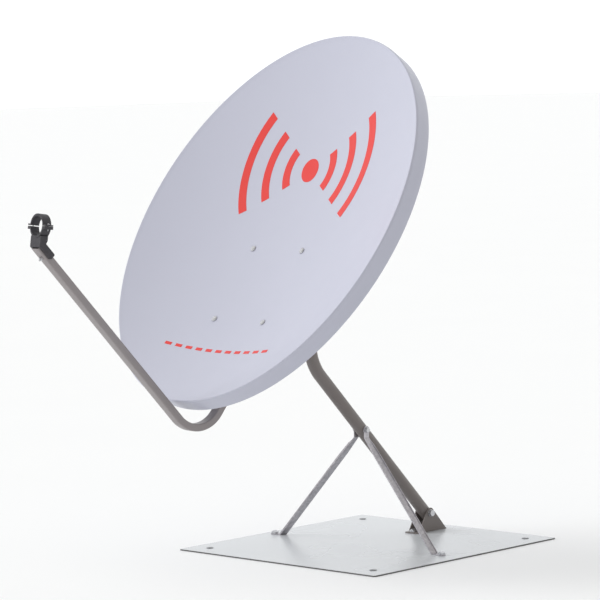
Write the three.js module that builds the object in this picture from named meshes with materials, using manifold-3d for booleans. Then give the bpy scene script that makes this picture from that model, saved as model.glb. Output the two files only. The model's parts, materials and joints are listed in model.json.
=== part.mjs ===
// Offset satellite dish on a bent mast with two struts, bolted to a square base plate.
// Every pressed, rolled, moulded and bolted piece is a closed solid of its own.
// Millimetres, +Z up, the dish looks towards -Y. Origin: centre of the base plate's underside.
import * as THREE from "three";
import { mergeVertices } from "three/addons/utils/BufferGeometryUtils.js";
import Module from "manifold-3d";

const wasm = await Module();
wasm.setup();
const radians = THREE.MathUtils.degToRad;

// ---- Driving dimensions --------------------------------------------------------------------

// Clearance between pieces that touch, and the steel sheet of the brackets
const GAP = 0.3;
const SHEET = 2.5;

// Base plate
const PLATE_SIDE = 590;
const PLATE_THICKNESS = 3;
const PLATE_CORNER = 5;
const PLATE_BOLT_INSET = 48;
const TOP_OF_PLATE = PLATE_THICKNESS + GAP;
const STAND_X = -11;

// Mast: a round tube that leans forward from its foot and bends upright
const MAST_RADIUS = 14;
const MAST_WALL = 1.8;
const MAST_AXIS_Y = -152.7;
const MAST_CORNER_Z = 416.8;
const MAST_BEND_RADIUS = 100;
const MAST_TOP_Z = 695;
const MAST_TAIL = 22;
const CAP_HEIGHT = 4;
const MAST_SIDES = 20;

// Foot bracket: a U of sheet that holds the mast's foot on one cross bolt
const FOOT_Y = 203;
const FOOT_PIVOT_Z = 45.1;
const FOOT_CHEEK_FRONT = 36;
const FOOT_CHEEK_REAR = 49;
const FOOT_CHEEK_TOP_RADIUS = 12;
const FOOT_BASE_FRONT = 49;
const FOOT_BASE_REAR = 52;
const FOOT_ANCHOR_FRONT = 41;
const FOOT_ANCHOR_REAR = 37;

// Struts: pressed channels from a cross bolt in the mast out to the plate
const STRUT_BOLT_Y = 1;
const STRUT_BOLT_Z = 256;
const STRUT_WIDTH = 14.5;
const STRUT_SHEET = 1.5;
const STRUT_FLANGE = 2;
const STRUT_TAB_BEND_Z = 238;
const STRUT_FOOT_BEND_X = 229;
const STRUT_FOOT_BOLT_X = 253;
const STRUT_FOOT_BOLT_Y = -26;
const STRUT_TAB_RADIUS = 9;
const STRUT_TWIST = 0.42;
const STRUT_TWIST_Z = 200;

// Head: everything that turns on the upright mast
const HEAD_AZIMUTH = -6;

// Clamp bracket and saddles on the mast
const CLAMP_OUTER = 47.7;
const CLAMP_BOTTOM_Z = 532;
const CLAMP_TOP_Z = 674;
const CLAMP_BOLT_X = 30;
const CLAMP_BOLT_HEIGHTS = { lower: 559, upper: 655 };
const SADDLE_HALF_HEIGHT = 13;
const SADDLE_HALF_WIDTH = 42;
const SADDLE_FLANGE_Y = 4;

// Elevation pivot and the lock bolt below it, forward of the mast
const PIVOT_Y = -60;
const PIVOT_Z = 625;
const LOCK_RADIUS = 75;
const ELEVATION_DOWN = 35;
const ELEVATION_UP = 11;

// Reflector: an offset paraboloid cut by the plane of its rim
const FACE_ELEVATION = 33;
const BEAM_OFFSET = 21.4;
const RIM_CENTRE_Y = -119.6;
const RIM_CENTRE_Z = 746.1;
const RIM_HEIGHT = 900;
const RIM_WIDTH = 838;
const RIM_ROLL = 5;
const SKIRT_DEPTH = 39.5;
const SKIN = 1;
const BOWL_DEPTH = 81;
const BOWL_RINGS = 9;
const RIM_SEGMENTS = 60;

// Rear bracket, bolted to the reflector by four bolts
const BOLT_SPACING_X = 165;
const BOLT_SPACING_V = 182;
const BOLT_CENTRE_V = -136;
const FRAME_BACK = 8;
const EAR_INNER = 48;
const EAR_OUTER = EAR_INNER + SHEET;
const ARM_WEB_BACK = 53.8;
const ARM_WEB_BOTTOM = -115;
const ARM_WEB_TOP = -25;

// Feed arm: a rectangular tube that passes under the rim
const ARM_WIDTH = 25;
const ARM_DEPTH = 16;
const ARM_WALL = 1.5;
const ARM_CORNER = 3;
const ARM_BEND_RADIUS = 68;
const ARM_CORNER_DROP = 363;
const ARM_FRONT_ELEVATION = 48.5;
const ARM_FRONT_LENGTH = 591;
const ARM_BOLT_DROPS = [45, 100];

// Feed holder: a split plastic ring for a 40 mm feed neck
const RING_Y = -693;
const RING_Z = 754;
const RING_TILT = 8.5;
const RING_HALF_WIDTH = 22.8;
const RING_HALF_HEIGHT = 24.8;
const RING_BORE = 20;
const RING_HALF_LENGTH = 10.2;
const RING_SPLIT_LEFT = 1;
const RING_SPLIT_RIGHT = 0.25;
const EAR_REACH = 30;
const CAP_SCREW_X = 26.8;
const HOLDER_HALF_WIDTH = 17.2;
const HOLDER_FRONT = -9.5;
const HOLDER_REAR = 8.5;
const HOLDER_DROP = 43;
const SADDLE_REACH = 35;
const SADDLE_WALL = 3;
const SADDLE_SIDE_DEPTH = 4;
const HOLDER_BOLT_FROM_END = 25;

// Threads
const ANCHOR_BOLT = 6;
const FOOT_BOLT = 8;
const STRUT_BOLT = 6;
const CLAMP_BOLT = 8;
const PIVOT_BOLT = 8;
const LOCK_BOLT = 8;
const REFLECTOR_BOLT = 6;
const ARM_BOLT = 6;
const HOLDER_BOLT = 5;
const CAP_SCREW = 3;

// Finishes: colour, roughness, metalness
const REFLECTOR_PAINT = { color: 0xccced9, roughness: 0.45, metalness: 0.1 };
const MOUNT_PAINT = { color: 0x6d6764, roughness: 0.5, metalness: 0.3 };
const ARM_PAINT = { color: 0x9a9696, roughness: 0.5, metalness: 0.3 };
const STRUT_PAINT = { color: 0x9c9aa2, roughness: 0.4, metalness: 0.4 };
const PLATE_PAINT = { color: 0xd7dadd, roughness: 0.5, metalness: 0.1 };
const ZINC = { color: 0xb9bcc2, roughness: 0.3, metalness: 0.9 };
const BLACK_PLASTIC = { color: 0x3c3a40, roughness: 0.6, metalness: 0 };
const GREY_PLASTIC = { color: 0x4a4a4c, roughness: 0.65, metalness: 0 };

// ---- Solids --------------------------------------------------------------------------------

const X_AXIS = new THREE.Vector3(1, 0, 0);
const Y_AXIS = new THREE.Vector3(0, 1, 0);
const Z_AXIS = new THREE.Vector3(0, 0, 1);

function toSolid(geometry) {
  const bare = geometry.clone();
  bare.deleteAttribute("normal");
  bare.deleteAttribute("uv");
  const merged = mergeVertices(bare, 1e-3);
  const mesh = new wasm.Mesh({
    numProp: 3,
    vertProperties: merged.attributes.position.array,
    triVerts: new Uint32Array(merged.index.array),
  });
  return new wasm.Manifold(mesh);
}

function toGeometry(solid) {
  const mesh = solid.getMesh();
  const positions = new THREE.BufferAttribute(new Float32Array(mesh.vertProperties), 3);
  const geometry = new THREE.BufferGeometry();
  geometry.setAttribute("position", positions);
  geometry.setIndex(new THREE.BufferAttribute(new Uint32Array(mesh.triVerts), 1));
  geometry.computeVertexNormals();
  return geometry;
}

function join(...geometries) {
  return toGeometry(geometries.map(toSolid).reduce((sum, solid) => sum.add(solid)));
}

function cut(geometry, ...tools) {
  return toGeometry(tools.map(toSolid).reduce((rest, tool) => rest.subtract(tool), toSolid(geometry)));
}

// A round bar between two points
function rod(radius, from, to, sides = 12) {
  const along = to.clone().sub(from);
  const geometry = new THREE.CylinderGeometry(radius, radius, along.length(), sides);
  geometry.applyQuaternion(new THREE.Quaternion().setFromUnitVectors(Y_AXIS, along.normalize()));
  const middle = from.clone().add(to).multiplyScalar(0.5);
  return geometry.translate(middle.x, middle.y, middle.z);
}

function box(lowX, lowY, lowZ, highX, highY, highZ) {
  const geometry = new THREE.BoxGeometry(highX - lowX, highY - lowY, highZ - lowZ);
  return geometry.translate((lowX + highX) / 2, (lowY + highY) / 2, (lowZ + highZ) / 2);
}

function extrude(shape, depth, curveSegments) {
  return new THREE.ExtrudeGeometry(shape, { depth, curveSegments, bevelEnabled: false });
}

// A shape drawn in X and Y, from one height to another
function layFlat(shape, lowZ, highZ, curveSegments = 3) {
  return extrude(shape, highZ - lowZ, curveSegments).translate(0, 0, lowZ);
}

// A shape drawn in Y and Z, from one X to another
function standSideways(shape, lowX, highX, curveSegments = 4) {
  const basis = new THREE.Matrix4().makeBasis(Y_AXIS, Z_AXIS, X_AXIS);
  return extrude(shape, highX - lowX, curveSegments).applyMatrix4(basis).translate(lowX, 0, 0);
}

// A shape drawn in X and Z, from one Y to another
function standFacing(shape, lowY, highY, curveSegments = 4) {
  const basis = new THREE.Matrix4().makeBasis(X_AXIS, Z_AXIS, Y_AXIS.clone().negate());
  return extrude(shape, highY - lowY, curveSegments).applyMatrix4(basis).translate(0, highY, 0);
}

function outline(points) {
  return new THREE.Shape(points.map(([x, y]) => new THREE.Vector2(x, y)));
}

function roundedRectangle(width, height, radius) {
  const x = width / 2 - radius;
  const y = height / 2 - radius;
  const shape = new THREE.Shape();
  shape.absarc(x, y, radius, 0, Math.PI / 2);
  shape.absarc(-x, y, radius, Math.PI / 2, Math.PI);
  shape.absarc(-x, -y, radius, Math.PI, Math.PI * 1.5);
  shape.absarc(x, -y, radius, Math.PI * 1.5, Math.PI * 2);
  shape.closePath();
  return shape;
}

function disc(radius) {
  return new THREE.Shape().absarc(0, 0, radius, 0, Math.PI * 2);
}

// ---- Fasteners: the seat under the head is at the local origin, the shank runs along +Z ----

const BOLT_SIDES = 10;
const acrossCorners = (thread) => (1.6 * thread + 0.3) / Math.sqrt(3);
const headHeight = (thread) => 0.66 * thread;
const washerHeight = (thread) => 0.2 * thread;
const nutHeight = (thread) => 0.8 * thread;

function hexBolt(thread, length) {
  const washerTop = -washerHeight(thread);
  const headTop = washerTop - headHeight(thread);
  const at = (z) => new THREE.Vector3(0, 0, z);
  return join(
    rod(acrossCorners(thread), at(headTop), at(washerTop + 0.1), 6),
    rod(thread, at(washerTop), at(0)),
    rod(thread / 2, at(-0.1), at(length), BOLT_SIDES),
  );
}

function hexNut(thread) {
  const shape = new THREE.Shape();
  const radius = acrossCorners(thread);
  for (let corner = 0; corner < 6; corner++) {
    const angle = (corner * Math.PI) / 3;
    const point = [radius * Math.cos(angle), radius * Math.sin(angle)];
    if (corner === 0) shape.moveTo(...point);
    else shape.lineTo(...point);
  }
  shape.closePath();
  shape.holes.push(disc(thread / 2 + GAP));
  return layFlat(shape, 0, nutHeight(thread), BOLT_SIDES / 2);
}

function domedBolt(thread, length, headRadius, domeHeight) {
  const profile = [new THREE.Vector2(0, -domeHeight)];
  for (let step = 1; step <= 4; step++) {
    const angle = (step * Math.PI) / 8;
    profile.push(new THREE.Vector2(headRadius * Math.sin(angle), -domeHeight * Math.cos(angle)));
  }
  profile.push(new THREE.Vector2(thread / 2, 0));
  profile.push(new THREE.Vector2(thread / 2, length));
  profile.push(new THREE.Vector2(0, length));
  return new THREE.LatheGeometry(profile, BOLT_SIDES).rotateX(Math.PI / 2);
}

// ---- Bent tubes ----------------------------------------------------------------------------

// A tube's axis: two straight runs and one round bend, with stations only where they are needed
class BentAxis extends THREE.Curve {
  constructor(start, corner, end, radius, bendSteps) {
    super();
    const inbound = corner.clone().sub(start).normalize();
    const outbound = end.clone().sub(corner).normalize();
    const turn = inbound.angleTo(outbound);
    const hinge = inbound.clone().cross(outbound).normalize();
    const entry = corner.clone().addScaledVector(inbound, -radius * Math.tan(turn / 2));
    const centre = hinge.clone().cross(inbound).multiplyScalar(radius).add(entry);
    this.stations = [{ point: start, tangent: inbound }];
    for (let step = 0; step <= bendSteps; step++) {
      const angle = (turn * step) / bendSteps;
      const point = entry.clone().sub(centre).applyAxisAngle(hinge, angle).add(centre);
      this.stations.push({ point, tangent: inbound.clone().applyAxisAngle(hinge, angle) });
    }
    this.stations.push({ point: end, tangent: outbound });
  }

  get steps() {
    return this.stations.length - 1;
  }

  station(share) {
    return this.stations[Math.round(share * this.steps)];
  }

  getPointAt(share) {
    return this.station(share).point.clone();
  }

  getTangentAt(share) {
    return this.station(share).tangent.clone();
  }
}

function tube(section, axis, curveSegments) {
  return new THREE.ExtrudeGeometry(section, {
    steps: axis.steps,
    extrudePath: axis,
    curveSegments,
    bevelEnabled: false,
  });
}

// ---- Assembly helpers ----------------------------------------------------------------------

function piece(group, name, geometry, finish) {
  const mesh = new THREE.Mesh(geometry, new THREE.MeshStandardMaterial(finish));
  mesh.name = name;
  group.add(mesh);
  return mesh;
}

// Puts a fastener with its seat at a point and its shank along a direction
function fasten(group, name, geometry, seat, direction, finish = ZINC) {
  const mesh = piece(group, name, geometry, finish);
  mesh.position.copy(seat);
  mesh.quaternion.setFromUnitVectors(Z_AXIS, direction.clone().normalize());
  return mesh;
}

// ---- Stand ---------------------------------------------------------------------------------

const MAST_FOOT = new THREE.Vector3(0, FOOT_Y, FOOT_PIVOT_Z);
const MAST_CORNER = new THREE.Vector3(0, MAST_AXIS_Y, MAST_CORNER_Z);
const MAST_TOP = new THREE.Vector3(0, MAST_AXIS_Y, MAST_TOP_Z);

const PLATE_BOLT_POINTS = [-1, 1].flatMap((sideX) =>
  [-1, 1].map((sideY) => [
    sideX * (PLATE_SIDE / 2 - PLATE_BOLT_INSET),
    sideY * (PLATE_SIDE / 2 - PLATE_BOLT_INSET),
  ]),
);
const FOOT_ANCHOR_POINTS = [
  [0, FOOT_Y - FOOT_ANCHOR_FRONT],
  [0, FOOT_Y + FOOT_ANCHOR_REAR],
];
const STRUT_ANCHOR_POINTS = [
  [-STRUT_FOOT_BOLT_X, STRUT_FOOT_BOLT_Y],
  [STRUT_FOOT_BOLT_X, STRUT_FOOT_BOLT_Y],
];

// A hole through everything that lies on or in the plate
function floorHole([x, y], thread) {
  const low = new THREE.Vector3(x, y, -5);
  const high = new THREE.Vector3(x, y, 20);
  return rod(thread / 2 + GAP, low, high, BOLT_SIDES);
}

function basePlate() {
  const sheet = layFlat(
    roundedRectangle(PLATE_SIDE, PLATE_SIDE, PLATE_CORNER),
    0,
    PLATE_THICKNESS,
    3,
  );
  const anchors = [...FOOT_ANCHOR_POINTS, ...STRUT_ANCHOR_POINTS].map(([x, y]) => [x + STAND_X, y]);
  const points = [...PLATE_BOLT_POINTS, ...anchors];
  return cut(sheet, ...points.map((point) => floorHole(point, ANCHOR_BOLT)));
}

// A bolt driven down into a tapped hole of the plate, flush with its underside
function plateBolt(group, name, [x, y], seatZ, makeBolt = hexBolt) {
  const bolt = makeBolt(ANCHOR_BOLT, seatZ - GAP);
  fasten(group, name, bolt, new THREE.Vector3(x, y, seatZ), new THREE.Vector3(0, 0, -1));
}

// The plate's own corner screws have wide, nearly flat heads
function flatScrew(thread, length) {
  return domedBolt(thread, length, 8, 1.4);
}

function crossHole(thread, y, z, halfWidth) {
  const left = new THREE.Vector3(-halfWidth, y, z);
  const right = new THREE.Vector3(halfWidth, y, z);
  return rod(thread / 2 + GAP, left, right);
}

const FOOT_INNER = MAST_RADIUS + 2 * GAP;

function footBracket() {
  const outer = FOOT_INNER + SHEET;
  const floor = TOP_OF_PLATE + SHEET;
  const base = box(
    -outer,
    FOOT_Y - FOOT_BASE_FRONT,
    TOP_OF_PLATE,
    outer,
    FOOT_Y + FOOT_BASE_REAR,
    floor,
  );
  const cheek = new THREE.Shape();
  cheek.moveTo(FOOT_Y - FOOT_CHEEK_FRONT, TOP_OF_PLATE);
  cheek.lineTo(FOOT_Y + FOOT_CHEEK_REAR, TOP_OF_PLATE);
  cheek.lineTo(FOOT_Y + FOOT_CHEEK_REAR, floor + 2);
  cheek.absarc(FOOT_Y, FOOT_PIVOT_Z, FOOT_CHEEK_TOP_RADIUS, radians(40), radians(150));
  cheek.lineTo(FOOT_Y - FOOT_CHEEK_FRONT, floor + 2);
  cheek.closePath();
  const solid = join(
    base,
    standSideways(cheek, -outer, -FOOT_INNER),
    standSideways(cheek, FOOT_INNER, outer),
  );
  const anchors = FOOT_ANCHOR_POINTS.map((point) => floorHole(point, ANCHOR_BOLT));
  return cut(solid, crossHole(FOOT_BOLT, FOOT_Y, FOOT_PIVOT_Z, outer + 5), ...anchors);
}

function mastTube() {
  const tail = MAST_FOOT.clone().sub(MAST_CORNER).normalize().multiplyScalar(MAST_TAIL);
  const axis = new BentAxis(MAST_FOOT.clone().add(tail), MAST_CORNER, MAST_TOP, MAST_BEND_RADIUS, 7);
  const section = disc(MAST_RADIUS);
  section.holes.push(disc(MAST_RADIUS - MAST_WALL));
  return cut(
    tube(section, axis, MAST_SIDES / 2),
    crossHole(FOOT_BOLT, FOOT_Y, FOOT_PIVOT_Z, 30),
    crossHole(STRUT_BOLT, STRUT_BOLT_Y, STRUT_BOLT_Z, 30),
  );
}

function mastTopCap() {
  const plugRadius = MAST_RADIUS - MAST_WALL - GAP;
  const profile = [
    [0, -12],
    [plugRadius, -12],
    [plugRadius, GAP],
    [MAST_RADIUS + 1, GAP],
    [MAST_RADIUS + 1, CAP_HEIGHT - 1.5],
    [MAST_RADIUS - 1, CAP_HEIGHT],
    [0, CAP_HEIGHT],
  ].map(([radius, z]) => new THREE.Vector2(radius, z));
  return new THREE.LatheGeometry(profile, MAST_SIDES).rotateX(Math.PI / 2);
}

const STRUT_TAB_X = MAST_RADIUS + 2 * GAP;
const STRUT_FOOT_TOP = TOP_OF_PLATE + STRUT_SHEET;
const STRUT_RISE = STRUT_TAB_BEND_Z - TOP_OF_PLATE;
const STRUT_RUN = STRUT_FOOT_BEND_X - STRUT_TAB_X;
const STRUT_SLANT = Math.hypot(STRUT_RISE, STRUT_RUN) / STRUT_RISE;

// The inner face of a strut's slanting length
function slantX(z) {
  return STRUT_TAB_X + ((STRUT_TAB_BEND_Z - z) * STRUT_RUN) / STRUT_RISE;
}

// Below its tab a strut is twisted, so that its rear edge lies further out
function twisted(geometry) {
  const positions = geometry.getAttribute("position");
  for (let index = 0; index < positions.count; index++) {
    const z = positions.getZ(index);
    const share = THREE.MathUtils.clamp(
      (STRUT_TAB_BEND_Z - z) / (STRUT_TAB_BEND_Z - STRUT_TWIST_Z),
      0,
      1,
    );
    const shift = share * STRUT_TWIST * positions.getY(index);
    positions.setX(index, positions.getX(index) + shift);
  }
  return geometry;
}

function strutWeb() {
  const webX = STRUT_SHEET * STRUT_SLANT;
  const shape = outline([
    [STRUT_TAB_X, STRUT_BOLT_Z],
    [STRUT_TAB_X, STRUT_TAB_BEND_Z],
    [slantX(STRUT_TWIST_Z), STRUT_TWIST_Z],
    [STRUT_FOOT_BEND_X, TOP_OF_PLATE],
    [STRUT_FOOT_BOLT_X, TOP_OF_PLATE],
    [STRUT_FOOT_BOLT_X, STRUT_FOOT_TOP],
    [STRUT_FOOT_BEND_X + webX * 0.6, STRUT_FOOT_TOP],
    [slantX(STRUT_TWIST_Z) + webX, STRUT_TWIST_Z],
    [STRUT_TAB_X + STRUT_SHEET, STRUT_TAB_BEND_Z + 1],
    [STRUT_TAB_X + STRUT_SHEET, STRUT_BOLT_Z],
  ]);
  return standFacing(shape, -STRUT_WIDTH / 2, STRUT_WIDTH / 2);
}

// A flange along one edge of the slanting length
function strutFlange(lowY) {
  const rootX = (STRUT_SHEET * STRUT_SLANT) / 2;
  const edgeX = (STRUT_SHEET + STRUT_FLANGE) * STRUT_SLANT;
  const low = TOP_OF_PLATE + 3;
  const rootHigh = STRUT_TAB_BEND_Z - 2;
  const edgeHigh = STRUT_TAB_BEND_Z - 12;
  const shape = outline([
    [slantX(rootHigh) + rootX, rootHigh],
    [slantX(STRUT_TWIST_Z) + rootX, STRUT_TWIST_Z],
    [slantX(low) + rootX, low],
    [slantX(low) + edgeX, low],
    [slantX(STRUT_TWIST_Z) + edgeX, STRUT_TWIST_Z],
    [slantX(edgeHigh) + edgeX, edgeHigh],
  ]);
  return standFacing(shape, lowY, lowY + STRUT_SHEET);
}

// A strut, drawn in X and Z at the cross bolt and sheared to its foot. Both are one pressing:
// the left one is turned half round.
function strut(side) {
  const half = STRUT_WIDTH / 2;
  const pressing = twisted(join(strutWeb(), strutFlange(-half), strutFlange(half - STRUT_SHEET)));
  const tab = rod(
    STRUT_TAB_RADIUS,
    new THREE.Vector3(STRUT_TAB_X, 0, STRUT_BOLT_Z),
    new THREE.Vector3(STRUT_TAB_X + STRUT_SHEET, 0, STRUT_BOLT_Z),
    20,
  );
  const foot = rod(
    STRUT_TAB_RADIUS,
    new THREE.Vector3(STRUT_FOOT_BOLT_X, 0, TOP_OF_PLATE),
    new THREE.Vector3(STRUT_FOOT_BOLT_X, 0, STRUT_FOOT_TOP),
    20,
  );
  const drilled = cut(
    join(pressing, tab, foot),
    crossHole(STRUT_BOLT, 0, STRUT_BOLT_Z, 40),
    floorHole([STRUT_FOOT_BOLT_X, 0], ANCHOR_BOLT),
  );
  const slope = (STRUT_FOOT_BOLT_Y - STRUT_BOLT_Y) / (STRUT_FOOT_BOLT_X - STRUT_TAB_X);
  const shear = new THREE.Matrix4().set(1, 0, 0, 0, side * slope, 1, 0, 0, 0, 0, 1, 0, 0, 0, 0, 1);
  const turned = drilled.rotateZ(side > 0 ? 0 : Math.PI).applyMatrix4(shear);
  return turned.translate(0, STRUT_BOLT_Y - slope * STRUT_TAB_X, 0);
}

function crossBoltAndNut(group, name, y, z, seatX, thread) {
  const length = 2 * seatX + nutHeight(thread) + 3;
  const right = new THREE.Vector3(seatX, y, z);
  const left = new THREE.Vector3(-seatX - GAP, y, z);
  fasten(group, name + "_bolt", hexBolt(thread, length), right, new THREE.Vector3(-1, 0, 0));
  fasten(group, name + "_nut", hexNut(thread), left, new THREE.Vector3(-1, 0, 0));
}

function buildStand(group) {
  piece(group, "base_plate", basePlate(), PLATE_PAINT);
  PLATE_BOLT_POINTS.forEach((point, index) => {
    plateBolt(group, `base_plate_screw_${index + 1}`, point, TOP_OF_PLATE, flatScrew);
  });
  const stand = new THREE.Group();
  stand.position.x = STAND_X;
  group.add(stand);
  piece(stand, "foot_bracket", footBracket(), MOUNT_PAINT);
  const footFloor = TOP_OF_PLATE + SHEET + GAP;
  plateBolt(stand, "foot_anchor_bolt_front", FOOT_ANCHOR_POINTS[0], footFloor);
  plateBolt(stand, "foot_anchor_bolt_rear", FOOT_ANCHOR_POINTS[1], footFloor);
  piece(stand, "mast_tube", mastTube(), MOUNT_PAINT);
  const cap = piece(stand, "mast_top_cap", mastTopCap(), GREY_PLASTIC);
  cap.position.copy(MAST_TOP);
  crossBoltAndNut(stand, "foot_pivot", FOOT_Y, FOOT_PIVOT_Z, FOOT_INNER + SHEET + GAP, FOOT_BOLT);
  piece(stand, "strut_right", strut(1), STRUT_PAINT);
  piece(stand, "strut_left", strut(-1), STRUT_PAINT);
  const strutSeat = STRUT_TAB_X + STRUT_SHEET + GAP;
  crossBoltAndNut(stand, "strut_top", STRUT_BOLT_Y, STRUT_BOLT_Z, strutSeat, STRUT_BOLT);
  plateBolt(stand, "strut_foot_bolt_left", STRUT_ANCHOR_POINTS[0], STRUT_FOOT_TOP + GAP);
  plateBolt(stand, "strut_foot_bolt_right", STRUT_ANCHOR_POINTS[1], STRUT_FOOT_TOP + GAP);
}

// ---- Azimuth head: the clamp on the upright mast, in a frame on the mast's axis ------------

const LOCK_Z = PIVOT_Z - LOCK_RADIUS;
const WEB_REAR_Y = -MAST_RADIUS - GAP;
const WEB_FRONT_Y = WEB_REAR_Y - SHEET;

function clampBracket() {
  const web = box(-CLAMP_OUTER, WEB_FRONT_Y, CLAMP_BOTTOM_Z, CLAMP_OUTER, WEB_REAR_Y, CLAMP_TOP_Z);
  const cheek = new THREE.Shape();
  cheek.moveTo(WEB_REAR_Y, CLAMP_BOTTOM_Z);
  cheek.lineTo(WEB_REAR_Y, CLAMP_TOP_Z);
  cheek.absarc(PIVOT_Y, PIVOT_Z, 15, radians(100), radians(180));
  cheek.absarc(PIVOT_Y, LOCK_Z, 14, radians(180), radians(270));
  cheek.closePath();
  const solid = join(
    web,
    standSideways(cheek, -CLAMP_OUTER, SHEET - CLAMP_OUTER),
    standSideways(cheek, CLAMP_OUTER - SHEET, CLAMP_OUTER),
  );
  return cut(
    solid,
    crossHole(PIVOT_BOLT, PIVOT_Y, PIVOT_Z, 60),
    crossHole(LOCK_BOLT, PIVOT_Y, LOCK_Z, 60),
    ...clampHoles(),
  );
}

function clampHoles() {
  return Object.values(CLAMP_BOLT_HEIGHTS).flatMap((z) =>
    [-CLAMP_BOLT_X, CLAMP_BOLT_X].map((x) =>
      rod(CLAMP_BOLT / 2 + GAP, new THREE.Vector3(x, -40, z), new THREE.Vector3(x, 40, z)),
    ),
  );
}

// A V of sheet that presses the mast against the clamp bracket's web
function saddle(centreZ) {
  const reach = (MAST_RADIUS + GAP) * Math.SQRT2;
  const bottomY = MAST_RADIUS + 2;
  const outerReach = reach + SHEET * Math.SQRT2;
  const right = [
    [SADDLE_HALF_WIDTH, SADDLE_FLANGE_Y],
    [SADDLE_HALF_WIDTH, SADDLE_FLANGE_Y + SHEET],
    [outerReach - SADDLE_FLANGE_Y - SHEET, SADDLE_FLANGE_Y + SHEET],
    [outerReach - bottomY - SHEET, bottomY + SHEET],
  ];
  const left = right.map(([x, y]) => [-x, y]).reverse();
  const inside = [
    [SADDLE_FLANGE_Y - reach, SADDLE_FLANGE_Y],
    [bottomY - reach, bottomY],
    [reach - bottomY, bottomY],
    [reach - SADDLE_FLANGE_Y, SADDLE_FLANGE_Y],
  ];
  const shape = outline([...right, ...left, ...inside]);
  const solid = layFlat(shape, centreZ - SADDLE_HALF_HEIGHT, centreZ + SADDLE_HALF_HEIGHT);
  return cut(solid, ...clampHoles());
}

function buildAzimuthHead(group) {
  piece(group, "clamp_bracket", clampBracket(), MOUNT_PAINT);
  const back = new THREE.Vector3(0, 1, 0);
  const nutSeat = SADDLE_FLANGE_Y + SHEET + GAP;
  const length = nutSeat - WEB_FRONT_Y + nutHeight(CLAMP_BOLT) + 4;
  for (const [level, z] of Object.entries(CLAMP_BOLT_HEIGHTS)) {
    piece(group, `mast_saddle_${level}`, saddle(z), MOUNT_PAINT);
    for (const [side, x] of [["left", -CLAMP_BOLT_X], ["right", CLAMP_BOLT_X]]) {
      const seat = new THREE.Vector3(x, WEB_FRONT_Y - GAP, z);
      fasten(group, `clamp_bolt_${level}_${side}`, hexBolt(CLAMP_BOLT, length), seat, back);
      const nutPoint = new THREE.Vector3(x, nutSeat, z);
      fasten(group, `clamp_nut_${level}_${side}`, hexNut(CLAMP_BOLT), nutPoint, back);
    }
  }
  for (const [side, sign] of [["left", -1], ["right", 1]]) {
    const inward = new THREE.Vector3(-sign, 0, 0);
    const seat = new THREE.Vector3(sign * (EAR_OUTER + GAP), PIVOT_Y, LOCK_Z);
    fasten(group, `elevation_lock_bolt_${side}`, hexBolt(LOCK_BOLT, 18), seat, inward);
    const nutPoint = new THREE.Vector3(sign * (CLAMP_OUTER - SHEET - GAP), PIVOT_Y, LOCK_Z);
    fasten(group, `elevation_lock_nut_${side}`, hexNut(LOCK_BOLT), nutPoint, inward);
  }
}

// ---- Reflector, in a frame at the rim's centre: X across, Y up the face, Z along its normal --

const OFFSET_SIN = Math.sin(radians(BEAM_OFFSET));
const OFFSET_COS = Math.cos(radians(BEAM_OFFSET));
const BOWL_HALF_WIDTH = RIM_WIDTH / 2 - RIM_ROLL;
const BOWL_HALF_HEIGHT = RIM_HEIGHT / 2 - RIM_ROLL;

// The bowl's point whose projection along the beam on the rim plane is (across, up)
function bowlPoint(across, up) {
  const share = 1 - (across / BOWL_HALF_WIDTH) ** 2 - (up / BOWL_HALF_HEIGHT) ** 2;
  const depth = BOWL_DEPTH * share;
  return new THREE.Vector3(across, up - depth * OFFSET_SIN, -depth * OFFSET_COS);
}

function bowlNormal(across, up) {
  const slopeAcross = (-2 * BOWL_DEPTH * across) / BOWL_HALF_WIDTH ** 2;
  const slopeUp = (-2 * BOWL_DEPTH * up) / BOWL_HALF_HEIGHT ** 2;
  const alongAcross = new THREE.Vector3(1, -slopeAcross * OFFSET_SIN, -slopeAcross * OFFSET_COS);
  const alongUp = new THREE.Vector3(0, 1 - slopeUp * OFFSET_SIN, -slopeUp * OFFSET_COS);
  return alongAcross.cross(alongUp).normalize();
}

// The same, found from the point's own height on the face instead of its projection
function projectedUp(across, height) {
  const k = BOWL_DEPTH * OFFSET_SIN;
  const curve = k / BOWL_HALF_HEIGHT ** 2;
  const rest = height + k * (1 - (across / BOWL_HALF_WIDTH) ** 2);
  return (Math.sqrt(1 + 4 * curve * rest) - 1) / (2 * curve);
}

function ringOf(pointAt) {
  return Array.from({ length: RIM_SEGMENTS }, (_, index) =>
    pointAt((index * 2 * Math.PI) / RIM_SEGMENTS),
  );
}

// A ring on the bowl at a share of its size, moved back along the surface normal
function bowlRing(share, back) {
  return ringOf((angle) => {
    const across = share * BOWL_HALF_WIDTH * Math.cos(angle);
    const up = share * BOWL_HALF_HEIGHT * Math.sin(angle);
    return bowlPoint(across, up).addScaledVector(bowlNormal(across, up), -back);
  });
}

// A ring of the rim band at an inset from the outer ellipse
function rimRing(inset, z) {
  return ringOf((angle) => {
    const x = (RIM_WIDTH / 2) * Math.cos(angle);
    const y = (RIM_HEIGHT / 2) * Math.sin(angle);
    const outward = new THREE.Vector2(x / RIM_WIDTH ** 2, y / RIM_HEIGHT ** 2).normalize();
    return new THREE.Vector3(x - inset * outward.x, y - inset * outward.y, z);
  });
}

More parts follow.
